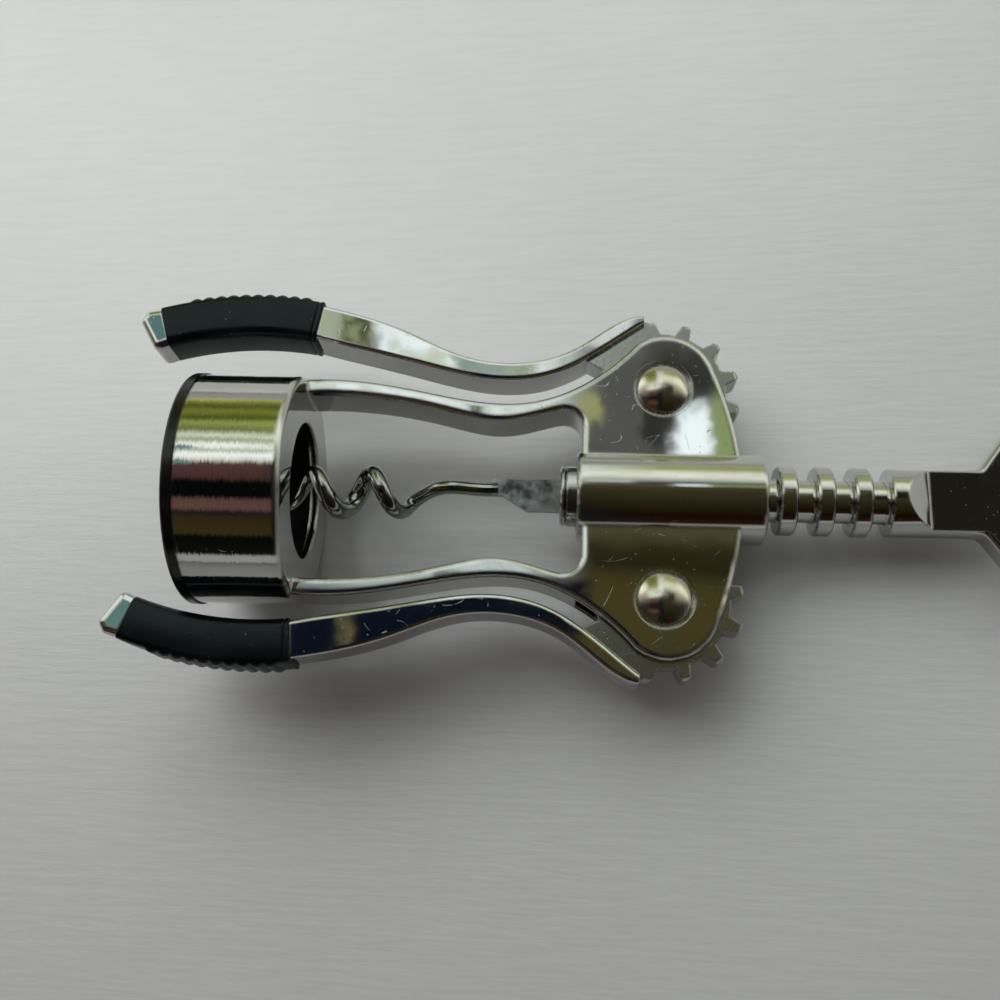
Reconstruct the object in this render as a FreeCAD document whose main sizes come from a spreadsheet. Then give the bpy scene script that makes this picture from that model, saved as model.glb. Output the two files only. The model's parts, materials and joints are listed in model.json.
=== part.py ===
import FreeCAD, Part
import math
import os
import Sketcher
from FreeCAD import Placement, Rotation, Vector

# Wing corkscrew, lying on a table, in millimetres.
#
# Every piece is drawn in the corkscrew's own frame: X runs along the worm from the bell's mouth to the
# head, Y points to the upper lever and Z out of the front cheek. Levers, grips and rivets are drawn about
# their pivot. The Placements then put each piece in the assembly and lay the whole down on the bell's
# edge and the end of the head, centred over the origin.

SIZES = {
    # bell: chrome cup over a plastic liner
    "bell_radius": 19.05,
    "bell_start": 1.8,
    "bell_end": 18.25,
    "bell_wall": 1.55,
    "bell_hole_radius": 11.4,
    "bell_edge_radius": 0.9,
    "rim_radius": 19.3,
    "rim_edge": 0.7,
    "seat_radius": 15.0,
    "seat_floor": 13.9,
    "mouth_radius": 16.4,
    "mouth_depth": 1.4,
    "liner_hole_radius": 11.8,
    # legs and cheeks: one plate profile, its upper half
    "plate_thickness": 9.0,
    "plate_edge_radius": 0.8,
    "leg_root": 17.0,
    "window_end": 64.2,
    "window_corner_radius": 3.0,
    "cheek_side_radius": 60.0,
    "cheek_top_radius": 8.3,
    # barrel and pivots
    "barrel_radius": 7.45,
    "barrel_start": 63.4,
    "barrel_end": 93.8,
    "barrel_edge": 0.4,
    "bore_radius": 5.78,
    "pivot_along": 77.4,
    "pivot_across": 17.6,
    "slot_radius": 13.9,
    "slot_width": 5.9,
    # spindle: ring rack, neck and head
    "rack_pitch": 5.92,
    "rack_radius": 5.7,
    "groove_radius": 3.5,
    "groove_width": 3.12,
    "groove_fillet": 0.4,
    "ring_bevel": 0.3,
    "first_groove": 70.68,
    "groove_count": 8,
    "spindle_start": 60.7,
    "flange_width": 0.7,
    "journal_length": 2.95,
    "shoulder_radius": 4.6,
    "shoulder_end": 66.35,
    "neck_start": 113.72,
    "neck_radius": 5.55,
    "neck_end": 129.6,
    "scoop_start": 116.0,
    "scoop_end": 120.2,
    "head_thickness": 5.0,
    "head_edge_radius": 0.9,
    "head_centre": 150.6,
    "head_radius": 21.0,
    "head_root": 118.0,
    "head_root_half": 4.6,
    "flare_start": 128.6,
    "flare_start_half": 5.5,
    "flare_end": 133.66,
    "flare_end_half": 12.41,
    "flare_fillet": 1.2,
    "opening_centre": 147.4,
    "opening_radius": 15.2,
    "opening_bevel": 0.7,
    "catch_reach": 157.8,
    "catch_half": 5.0,
    "catch_thickness": 2.2,
    "catch_corner_radius": 1.0,
    # retaining collar on the spindle's journal
    "collar_radius": 5.0,
    "collar_play": 0.05,
    "collar_start": 61.5,
    "collar_length": 2.7,
    "collar_bevel": 0.35,
    # worm: bent wire
    "wire_radius": 1.3,
    "worm_radius": 3.1,
    "worm_pitch": 9.7,
    "worm_top": 19.3,
    "worm_tip_turn": -0.5,
    "worm_last_turn": 1.68,
    "worm_points": 26,
    "point_share": 0.2,
    "coil_share": 0.7,
    "tip_radius": 0.25,
    "shank_start": 41.0,
    "shank_offset": 1.0,
    "shank_radius": 1.15,
    "blade_start": 49.6,
    "blade_corner": 51.3,
    "blade_full": 55.3,
    "blade_end": 64.6,
    "blade_top": 2.65,
    "blade_bottom": 2.75,
    "blade_thickness": 1.2,
    # levers, about the pivot
    "gear_teeth": 13,
    "teeth_made": 8,
    "first_tooth_angle": -93.7,
    "tooth_tip_radius": 13.0,
    "tooth_root_radius": 10.6,
    "tooth_tip_width": 1.5,
    "tooth_root_width": 2.5,
    "tooth_bevel": 0.35,
    "tooth_face_bevel": 0.5,
    "tooth_sink": 0.5,
    "gear_thickness": 5.3,
    "pivot_hole_radius": 2.05,
    "arm_thickness": 7.9,
    "arm_edge_radius": 0.6,
    "lever_play": 1.75,
    "tang_thickness": 5.0,
    "tip_edge_radius": 1.1,
    # grips, about the pivot
    "grip_thickness": 8.4,
    "grip_edge_radius": 1.6,
    "grip_ridge_radius": 0.9,
    "grip_outer_radius": 62.0,
    "grip_inner_radius": 58.0,
    "tang_outer_radius": 60.0,
    "tang_inner_radius": 60.0,
    "rib_count": 10,
    "rib_step": 2.15,
    "rib_radius": 1.4,
    "rib_height": 0.42,
    "first_rib_angle": 12.0,
    # rivets
    "post_radius": 2.0,
    "dome_radius": 4.15,
    "dome_height": 1.8,
    "dome_seat": 4.25,
    "dome_lip": 0.3,
    "recess_radius": 4.55,
    # how far a cut runs past the surface it starts from
    "overrun": 1.0,
}

# control points of the free curves, as (along, across)
LEG_INNER = {"root": (17.0, 15.45), "near": (24.0, 16.03), "sway": (39.4, 14.36), "waist": (50.9, 9.85),
             "rise": (59.2, 13.66), "end": (61.2, 13.75)}
LEG_OUTER = {"root": (17.0, 18.3), "near": (23.5, 18.9), "sway": (36.0, 17.3), "waist": (56.4, 12.2),
             "slope": (68.5, 20.6), "end": (72.9, 25.6)}
CHEEK = {"foot": (90.3, 0.0), "shoulder": (85.8, 21.3)}
ARM_OUTER = {"grip": (-58.18, 12.75), "near": (-53.6, 11.9), "sway": (-43.2, 9.4), "waist": (-32.5, 2.95),
             "rise": (-15.0, 4.1), "crown": (-8.1, 13.1), "point": (-3.6, 13.5)}
ARM_INNER = {"grip": (-58.94, 6.7), "near": (-53.9, 5.5), "sway": (-42.9, 3.5), "waist": (-29.6, -0.05),
             "rise": (-16.2, 1.3), "crown": (-6.8, 9.7), "point": (-3.4, 12.0)}
WEB = {"arm": (-13.9, 5.6), "disc": (-9.9, 3.6), "hub": (0.0, 0.0), "top": (-0.4, 10.6),
       "tooth": (-3.0, 12.7), "point": (-5.2, 12.4)}
GRIP = {"front_inner": (-59.0, 6.2), "back_inner": (-84.0, 4.2), "back_outer": (-86.6, 11.1),
        "front_outer": (-58.1, 13.4)}
TANG = {"front_inner": (-57.5, 8.4), "back_inner": (-85.0, 6.5), "back_outer": (-86.1, 9.2),
        "front_outer": (-57.5, 11.4)}
TIP = {"inner": (-84.06, 4.35), "inner_end": (-86.5, 3.3), "outer_end": (-89.9, 8.6),
       "corner": (-88.8, 10.4), "outer": (-86.52, 10.9)}
CURVES = {"leg_inner": LEG_INNER, "leg_outer": LEG_OUTER, "cheek": CHEEK, "arm_outer": ARM_OUTER,
          "arm_inner": ARM_INNER, "web": WEB, "grip": GRIP, "tang": TANG, "tip": TIP}

# lengths that only tell edges apart
TOUCHING = 1e-4
LONG_EDGE = 10.0

doc = FreeCAD.newDocument("wing_corkscrew")
sheet = doc.addObject("Spreadsheet::Sheet", "Sizes")


def fill_sheet():
    """One row per size: its name, its value and the alias that the pieces read."""
    rows = dict(SIZES)
    for curve, points in CURVES.items():
        for name, (along, across) in points.items():
            rows[f"{curve}_{name}_along"] = along
            rows[f"{curve}_{name}_across"] = across
    for row, (alias, value) in enumerate(rows.items(), start=1):
        sheet.set(f"A{row}", alias)
        sheet.set(f"B{row}", str(value))
        sheet.setAlias(f"B{row}", alias)
    doc.recompute()


def size(name):
    """Value of one cell."""
    return float(sheet.get(name))


def cell(name):
    return f"Sizes.{name}"


def corner(curve, name):
    """The (along, across) expressions of one named point."""
    return cell(f"{curve}_{name}_along"), cell(f"{curve}_{name}_across")


def control_points(curve):
    return [corner(curve, name) for name in CURVES[curve]]


# ---------------------------------------------------------------- sketches and features

def new_body(label):
    body = doc.addObject("PartDesign::Body", label)
    body.Label = label
    return body


def new_sketch(body, name, plane="XY_Plane", offset=None):
    sketch = body.newObject("Sketcher::SketchObject", name)
    support = [feature for feature in body.Origin.OriginFeatures if feature.Role == plane][0]
    sketch.AttachmentSupport = [(support, "")]
    sketch.MapMode = "FlatFace"
    if offset:
        sketch.AttachmentOffset = offset
    return sketch


def number(sketch, expression):
    return float(sketch.evalExpression(expression))


def vector(sketch, point):
    return Vector(number(sketch, point[0]), number(sketch, point[1]), 0)


def bind(sketch, constraint, name, expression):
    """Add a dimension and drive it from the sheet."""
    sketch.addConstraint(constraint)
    sketch.renameConstraint(sketch.ConstraintCount - 1, name)
    sketch.setExpression(f".Constraints.{name}", expression)


def hold(sketch, geometry, position, point, name):
    """Hold one point of the geometry at its two expressions."""
    for kind, expression in zip(("DistanceX", "DistanceY"), point):
        value = number(sketch, expression)
        constraint = Sketcher.Constraint(kind, -1, 1, geometry, position, value)
        bind(sketch, constraint, f"{name}_{kind[-1]}", expression)


def line_to(point):
    return "line", point


def arc_to(point, radius, turn):
    """Arc of less than half a circle; turn is left or right as it is drawn."""
    return "arc", point, radius, turn


def curve_to(points):
    """Smooth cubic curve with these control points, the last one its end."""
    return "curve", points


def arc_centre(begin, end, radius, turn):
    """Centre of the arc of less than half a circle from begin to end."""
    chord = end - begin
    across = Vector(-chord.y, chord.x, 0).normalize() * (1 if turn == "left" else -1)
    return begin + chord * 0.5 + across * math.sqrt(max(radius ** 2 - (chord.Length / 2) ** 2, 0))


def add_arc(sketch, begin, end, radius, turn):
    centre = arc_centre(begin, end, radius, turn)
    outward = ((begin + end) * 0.5 - centre).normalize()
    return sketch.addGeometry(Part.Arc(begin, centre + outward * radius, end))


def outline(sketch, start, stretches):
    """Closed outline, stretch by stretch, with every corner and control point held by the sheet."""
    begin = start
    joints = []
    for index, stretch in enumerate(stretches):
        kind = stretch[0]
        name = f"{kind}_{index}"
        first = vector(sketch, begin)
        if kind == "curve":
            points = stretch[1]
            curve = Part.BSplineCurve()
            curve.buildFromPoles([first] + [vector(sketch, p) for p in points], False, 3)
            geometry = sketch.addGeometry(curve)
            sketch.exposeInternalGeometry(geometry)
            for pole, point in enumerate(points[:-1], start=2):
                hold(sketch, geometry + pole, 3, point, f"{name}_pole_{pole}")
            end = points[-1]
        elif kind == "arc":
            end = stretch[1]
            radius = number(sketch, stretch[2])
            geometry = add_arc(sketch, first, vector(sketch, end), radius, stretch[3])
            bind(sketch, Sketcher.Constraint("Radius", geometry, radius), f"{name}_radius", stretch[2])
        else:
            end = stretch[1]
            geometry = sketch.addGeometry(Part.LineSegment(first, vector(sketch, end)))
        starts_at = 1 if (sketch.getPoint(geometry, 1) - first).Length < TOUCHING else 2
        ends_at = 3 - starts_at
        hold(sketch, geometry, ends_at, end, f"{name}_end")
        joints.append((geometry, starts_at, ends_at))
        begin = end
    for (previous, _, leaves), (following, enters, _) in zip(joints[-1:] + joints[:-1], joints):
        sketch.addConstraint(Sketcher.Constraint("Coincident", previous, leaves, following, enters))


def circle(sketch, centre, radius, name):
    geometry = sketch.addGeometry(
        Part.Circle(vector(sketch, centre), Vector(0, 0, 1), number(sketch, radius)))
    hold(sketch, geometry, 3, centre, name)
    bind(sketch, Sketcher.Constraint("Radius", geometry, number(sketch, radius)), f"{name}_radius", radius)


def pad(body, name, sketch, thickness):
    """Extrude equally to both sides of the sketch."""
    feature = body.newObject("PartDesign::Pad", name)
    feature.Profile = sketch
    feature.Midplane = True
    feature.setExpression("Length", thickness)
    doc.recompute()
    return feature


def pocket(body, name, sketch, depth=None, side="both"):
    """Cut to both sides of the sketch, or only below or above it, right through without a depth."""
    before = body.Tip.Shape.Volume
    feature = body.newObject("PartDesign::Pocket", name)
    feature.Profile = sketch
    feature.Midplane = side == "both"
    feature.Reversed = side == "above"
    if depth:
        feature.setExpression("Length", depth)
    else:
        feature.Type = "ThroughAll"
    doc.recompute()
    if feature.Shape.Volume > before - TOUCHING:
        raise RuntimeError(f"{name} cuts nothing")
    return feature


def turned(body, kind, name, sketch, axis="H_Axis"):
    """Revolution or Groove, once round the sketch's axis."""
    feature = body.newObject(f"PartDesign::{kind}", name)
    feature.Profile = sketch
    feature.ReferenceAxis = (sketch, [axis])
    feature.Angle = 360
    doc.recompute()
    return feature


def mirror(body, name, feature, sketch):
    """Repeat the feature on the other side of the sketch's horizontal axis."""
    both = body.newObject("PartDesign::Mirrored", name)
    both.Originals = [feature]
    both.MirrorPlane = (sketch, ["H_Axis"])
    body.Tip = both
    doc.recompute()
    return both


def dress(body, kind, name, amount, chosen):
    """Fillet or Chamfer on the chosen edges of the body's last feature."""
    last = body.Tip
    names = [f"Edge{index}" for index, edge in enumerate(last.Shape.Edges, start=1) if chosen(edge)]
    feature = body.newObject(f"PartDesign::{kind}", name)
    feature.Base = (last, names)
    feature.setExpression("Radius" if kind == "Fillet" else "Size", amount)
    doc.recompute()
    return feature


def is_upright(edge):
    """The edge is a straight line along Z."""
    box = edge.BoundBox
    return box.XLength < TOUCHING and box.YLength < TOUCHING


def is_flat_at(edge, level):
    """The edge lies in the plane Z = +level or Z = -level."""
    box = edge.BoundBox
    return box.ZLength < TOUCHING and abs(abs(box.ZMin) - level) < TOUCHING


# ---------------------------------------------------------------- frame casting

def make_frame_casting():
    """Bell, two legs, slotted cheeks and barrel in one casting."""
    body = new_body("frame_casting")
    half = new_sketch(body, "plate_profile")
    axis_foot = (corner("cheek", "foot")[0], "0")
    window_top = (cell("window_end"), "Sizes.leg_inner_end_across - Sizes.window_corner_radius")
    outline(half, corner("leg_inner", "root"), [
        curve_to(control_points("leg_inner")[1:]),
        arc_to(window_top, cell("window_corner_radius"), "right"),
        line_to((cell("window_end"), "0")),
        line_to(axis_foot),
        arc_to(corner("cheek", "shoulder"), cell("cheek_side_radius"), "left"),
        arc_to(corner("leg_outer", "end"), cell("cheek_top_radius"), "left"),
        curve_to(control_points("leg_outer")[::-1][1:]),
        line_to(corner("leg_inner", "root")),
    ])
    plate = pad(body, "plate", half, cell("plate_thickness"))
    mirror(body, "both_sides", plate, half)
    level = size("plate_thickness") / 2
    dress(body, "Fillet", "plate_edges", cell("plate_edge_radius"),
          lambda edge: is_flat_at(edge, level) and edge.BoundBox.XMax > size("leg_root") + size("overrun"))

    cup = new_sketch(body, "bell_profile")
    inside = "Sizes.bell_radius - Sizes.bell_wall"
    outline(cup, (cell("bell_start"), inside), [
        line_to((cell("bell_start"), cell("bell_radius"))),
        line_to(("Sizes.bell_end - Sizes.bell_edge_radius", cell("bell_radius"))),
        arc_to((cell("bell_end"), "Sizes.bell_radius - Sizes.bell_edge_radius"),
               cell("bell_edge_radius"), "right"),
        line_to((cell("bell_end"), cell("bell_hole_radius"))),
        line_to(("Sizes.bell_end - Sizes.bell_wall", cell("bell_hole_radius"))),
        line_to(("Sizes.bell_end - Sizes.bell_wall", inside)),
        line_to((cell("bell_start"), inside)),
    ])
    turned(body, "Revolution", "bell", cup)

    tube = new_sketch(body, "barrel_profile")
    outline(tube, (cell("barrel_start"), "0"), [
        line_to((cell("barrel_start"), "Sizes.barrel_radius - Sizes.barrel_edge")),
        line_to(("Sizes.barrel_start + Sizes.barrel_edge", cell("barrel_radius"))),
        line_to(("Sizes.barrel_end - Sizes.barrel_edge", cell("barrel_radius"))),
        line_to((cell("barrel_end"), "Sizes.barrel_radius - Sizes.barrel_edge")),
        line_to((cell("barrel_end"), "0")),
        line_to((cell("barrel_start"), "0")),
    ])
    turned(body, "Revolution", "barrel", tube)

    bore = new_sketch(body, "bore_profile")
    enters = "Sizes.barrel_start - Sizes.overrun"
    leaves = "Sizes.barrel_end + Sizes.overrun"
    outline(bore, (enters, "0"), [
        line_to((enters, cell("bore_radius"))),
        line_to((leaves, cell("bore_radius"))),
        line_to((leaves, "0")),
        line_to((enters, "0")),
    ])
    turned(body, "Groove", "bore", bore)

    def at_pivots(name, radius, level=0.0):
        """Sketch of one circle round each pivot, at a height above the middle plane."""
        sketch = new_sketch(body, name, offset=Placement(Vector(0, 0, level), Rotation()))
        for side, across in (("upper", "Sizes.pivot_across"), ("lower", "-Sizes.pivot_across")):
            circle(sketch, (cell("pivot_along"), across), radius, side)
        return sketch

    pocket(body, "slots", at_pivots("slot_profile", cell("slot_radius")), cell("slot_width"))
    pocket(body, "post_holes", at_pivots("post_profile", cell("post_radius")))
    depth = "Sizes.plate_thickness / 2 - Sizes.dome_seat"
    front = at_pivots("front_recess_profile", cell("recess_radius"), level)
    pocket(body, "front_recesses", front, depth, side="below")
    back = at_pivots("back_recess_profile", cell("recess_radius"), -level)
    pocket(body, "back_recesses", back, depth, side="above")
    return body


def make_bell_liner():
    """Black plastic cup inside the bell: rim, tapered mouth, bottle seat and pierced floor."""
    body = new_body("bell_liner")
    wall = new_sketch(body, "liner_profile")
    outside = "Sizes.bell_radius - Sizes.bell_wall"
    floor_back = "Sizes.bell_end - Sizes.bell_wall"
    outline(wall, ("0", cell("mouth_radius")), [
        line_to(("0", "Sizes.rim_radius - Sizes.rim_edge")),
        arc_to((cell("rim_edge"), cell("rim_radius")), cell("rim_edge"), "right"),
        line_to((cell("bell_start"), cell("rim_radius"))),
        line_to((cell("bell_start"), outside)),
        line_to((floor_back, outside)),
        line_to((floor_back, cell("liner_hole_radius"))),
        line_to((cell("seat_floor"), cell("liner_hole_radius"))),
        line_to((cell("seat_floor"), cell("seat_radius"))),
        line_to((cell("mouth_depth"), cell("seat_radius"))),
        line_to(("0", cell("mouth_radius"))),
    ])
    turned(body, "Revolution", "liner", wall)
    return body


# ---------------------------------------------------------------- spindle, collar and worm

def make_spindle():
    """Ring rack, neck, scooped shoulder and flat bottle-opener head in one casting."""
    body = new_body("spindle")
    flat = new_sketch(body, "head_profile")
    far = "Sizes.head_centre + Sizes.head_radius"
    root = (cell("head_root"), cell("head_root_half"))
    outline(flat, (cell("head_root"), "0"), [
        line_to(root),
        line_to((cell("flare_start"), cell("flare_start_half"))),
        line_to((cell("flare_end"), cell("flare_end_half"))),
        arc_to((cell("head_centre"), cell("head_radius")), cell("head_radius"), "right"),
        arc_to((far, "0"), cell("head_radius"), "right"),
        line_to((cell("head_root"), "0")),
    ])
    plate = pad(body, "head", flat, cell("head_thickness"))
    mirror(body, "head_both_sides", plate, flat)
    corner_half = size("flare_start_half")
    dress(body, "Fillet", "flare_corners", cell("flare_fillet"),
          lambda edge: is_upright(edge) and abs(abs(edge.BoundBox.YMin) - corner_half) < TOUCHING)
    level = size("head_thickness") / 2
    dress(body, "Fillet", "head_edges", cell("head_edge_radius"),
          lambda edge: is_flat_at(edge, level) and edge.BoundBox.XMax > size("head_root") + size("overrun"))

    stem = new_sketch(body, "stem_profile")
    journal_start = "Sizes.spindle_start + Sizes.flange_width"
    journal_end = "Sizes.spindle_start + Sizes.flange_width + Sizes.journal_length"
    outline(stem, (cell("spindle_start"), "0"), [
        line_to((cell("spindle_start"), "Sizes.collar_radius - Sizes.collar_bevel")),
        line_to(("Sizes.spindle_start + Sizes.collar_bevel", cell("collar_radius"))),
        line_to((journal_start, cell("collar_radius"))),
        line_to((journal_start, cell("groove_radius"))),
        line_to((journal_end, cell("groove_radius"))),
        line_to((journal_end, cell("shoulder_radius"))),
        line_to((cell("shoulder_end"), cell("shoulder_radius"))),
        line_to((cell("shoulder_end"), "Sizes.rack_radius - Sizes.ring_bevel")),
        line_to(("Sizes.shoulder_end + Sizes.ring_bevel", cell("rack_radius"))),
        line_to((cell("neck_start"), cell("rack_radius"))),
        line_to((cell("neck_start"), cell("neck_radius"))),
        line_to((cell("neck_end"), cell("neck_radius"))),
        line_to((cell("neck_end"), "0")),
        line_to((cell("spindle_start"), "0")),
    ])
    turned(body, "Revolution", "stem", stem)

    space = new_sketch(body, "groove_profile")
    left = "Sizes.first_groove - Sizes.groove_width / 2"
    right = "Sizes.first_groove + Sizes.groove_width / 2"
    top = "Sizes.rack_radius + Sizes.ring_bevel"
    bevel_end = "Sizes.rack_radius - Sizes.ring_bevel"
    floor_start = "Sizes.groove_radius + Sizes.groove_fillet"
    outline(space, (f"{left} - 2 * Sizes.ring_bevel", top), [
        line_to((left, bevel_end)),
        line_to((left, floor_start)),
        arc_to((f"{left} + Sizes.groove_fillet", cell("groove_radius")), cell("groove_fillet"), "left"),
        line_to((f"{right} - Sizes.groove_fillet", cell("groove_radius"))),
        arc_to((right, floor_start), cell("groove_fillet"), "left"),
        line_to((right, bevel_end)),
        line_to((f"{right} + 2 * Sizes.ring_bevel", top)),
        line_to((f"{left} - 2 * Sizes.ring_bevel", top)),
    ])
    groove = turned(body, "Groove", "groove", space)
    rack = body.newObject("PartDesign::LinearPattern", "rack")
    rack.Originals = [groove]
    rack.Direction = (space, ["H_Axis"])
    rack.Occurrences = int(size("groove_count"))
    rack.setExpression("Length", "Sizes.rack_pitch * (Sizes.groove_count - 1)")
    body.Tip = rack
    doc.recompute()

    for side, turn in (("front", 0), ("back", 180)):
        scoop = new_sketch(body, f"{side}_scoop_profile", "XZ_Plane",
                           Placement(Vector(0, 0, 0), Rotation(Vector(1, 0, 0), turn)))
        face = "Sizes.head_thickness / 2"
        above = "Sizes.neck_radius + Sizes.overrun"
        beyond = "Sizes.neck_end + Sizes.overrun"
        outline(scoop, (cell("scoop_start"), above), [
            line_to((cell("scoop_start"), cell("neck_radius"))),
            line_to((cell("scoop_end"), face)),
            line_to((beyond, face)),
            line_to((beyond, above)),
            line_to((cell("scoop_start"), above)),
        ])
        pocket(body, f"{side}_scoop", scoop)

    window = new_sketch(body, "opening_profile")
    circle(window, (cell("opening_centre"), "0"), cell("opening_radius"), "opening")
    pocket(body, "opening", window)
    dress(body, "Chamfer", "opening_bevel", cell("opening_bevel"),
          lambda edge: is_flat_at(edge, level)
          and abs(edge.Length - 2 * math.pi * size("opening_radius")) < TOUCHING)

    catch = new_sketch(body, "catch_profile", offset=Placement(
        Vector(0, 0, size("catch_thickness") / 2 - level), Rotation()))
    band = "Sizes.opening_centre + Sizes.opening_radius + Sizes.overrun"
    rounding = cell("catch_corner_radius")
    side_start = "Sizes.catch_reach + Sizes.catch_corner_radius"
    outline(catch, (band, "-Sizes.catch_half"), [
        line_to((band, cell("catch_half"))),
        line_to((side_start, cell("catch_half"))),
        arc_to((cell("catch_reach"), "Sizes.catch_half - Sizes.catch_corner_radius"), rounding, "left"),
        line_to((cell("catch_reach"), "Sizes.catch_corner_radius - Sizes.catch_half")),
        arc_to((side_start, "-Sizes.catch_half"), rounding, "left"),
        line_to((band, "-Sizes.catch_half")),
    ])
    pad(body, "catch", catch, cell("catch_thickness"))

    slot = new_sketch(body, "blade_slot_profile")
    mouth = "Sizes.spindle_start - Sizes.overrun"
    outline(slot, (mouth, cell("blade_top")), [
        line_to((cell("blade_end"), cell("blade_top"))),
        line_to((cell("blade_end"), "-Sizes.blade_bottom")),
        line_to((mouth, "-Sizes.blade_bottom")),
        line_to((mouth, cell("blade_top"))),
    ])
    pocket(body, "blade_slot", slot, cell("blade_thickness"))
    return body


def make_retaining_collar():
    """Loose ring on the spindle's journal, between its end flange and the first shoulder."""
    body = new_body("retaining_collar")
    ring = new_sketch(body, "collar_profile")
    inside = "Sizes.groove_radius + Sizes.collar_play"
    end = "Sizes.collar_start + Sizes.collar_length"
    outline(ring, (cell("collar_start"), inside), [
        line_to((cell("collar_start"), "Sizes.collar_radius - Sizes.collar_bevel")),
        line_to(("Sizes.collar_start + Sizes.collar_bevel", cell("collar_radius"))),
        line_to((f"{end} - Sizes.collar_bevel", cell("collar_radius"))),
        line_to((end, "Sizes.collar_radius - Sizes.collar_bevel")),
        line_to((end, inside)),
        line_to((cell("collar_start"), inside)),
    ])
    turned(body, "Revolution", "collar", ring)
    return body


def worm_point(turn):
    """Point of the worm's centre line, counted in turns from a crest on the upper side."""
    angle = 2 * math.pi * turn
    radius = size("worm_radius")
    return Vector(size("worm_top") + size("worm_pitch") * turn, radius * math.cos(angle),
                  radius * math.sin(angle))


def make_worm():
    """Steel wire: pointed helix, straight shank and a blade hammered flat for the spindle's slot."""
    first = size("worm_tip_turn")
    last = size("worm_last_turn")
    steps = int(size("worm_points"))
    points = [worm_point(first + (last - first) * step / steps) for step in range(steps + 1)]
    shank_axis = size("shank_offset")
    shank_end = size("blade_start") + size("overrun")
    points += [Vector(along, shank_axis, 0) for along in
               (size("shank_start"), (size("shank_start") + shank_end) / 2, shank_end)]
    curve = Part.BSplineCurve()
    curve.interpolate(points)
    pipe = Part.BRepOffsetAPI.MakePipeShell(Part.Wire(curve.toShape()))
    pipe.setFrenetMode(False)
    length = curve.length()
    wire = size("wire_radius")
    for share, radius in ((0, size("tip_radius")), (size("point_share"), wire),
                          (size("coil_share"), wire), (1, size("shank_radius"))):
        at = curve.parameterAtDistance(length * share, curve.FirstParameter)
        ring = Part.Circle(curve.value(at), Vector(*curve.tangent(at)[0]), radius)
        pipe.add(Part.Wire(ring.toShape()))
    pipe.build()
    pipe.makeSolid()

    half = size("blade_thickness") / 2
    top = size("blade_top")
    bottom = -size("blade_bottom")
    corners = [(size("blade_start"), top), (size("blade_end"), top), (size("blade_end"), bottom),
               (size("blade_full"), bottom), (size("blade_corner"), shank_axis - size("shank_radius")),
               (size("blade_start"), shank_axis - size("shank_radius"))]
    loop = [Vector(along, across, -half) for along, across in corners + corners[:1]]
    blade = Part.Face(Part.makePolygon(loop)).extrude(Vector(0, 0, 2 * half))
    worm = doc.addObject("Part::Feature", "worm")
    worm.Label = "worm"
    worm.Shape = pipe.shape().fuse(blade)
    return worm


# ---------------------------------------------------------------- levers and grips

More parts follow.
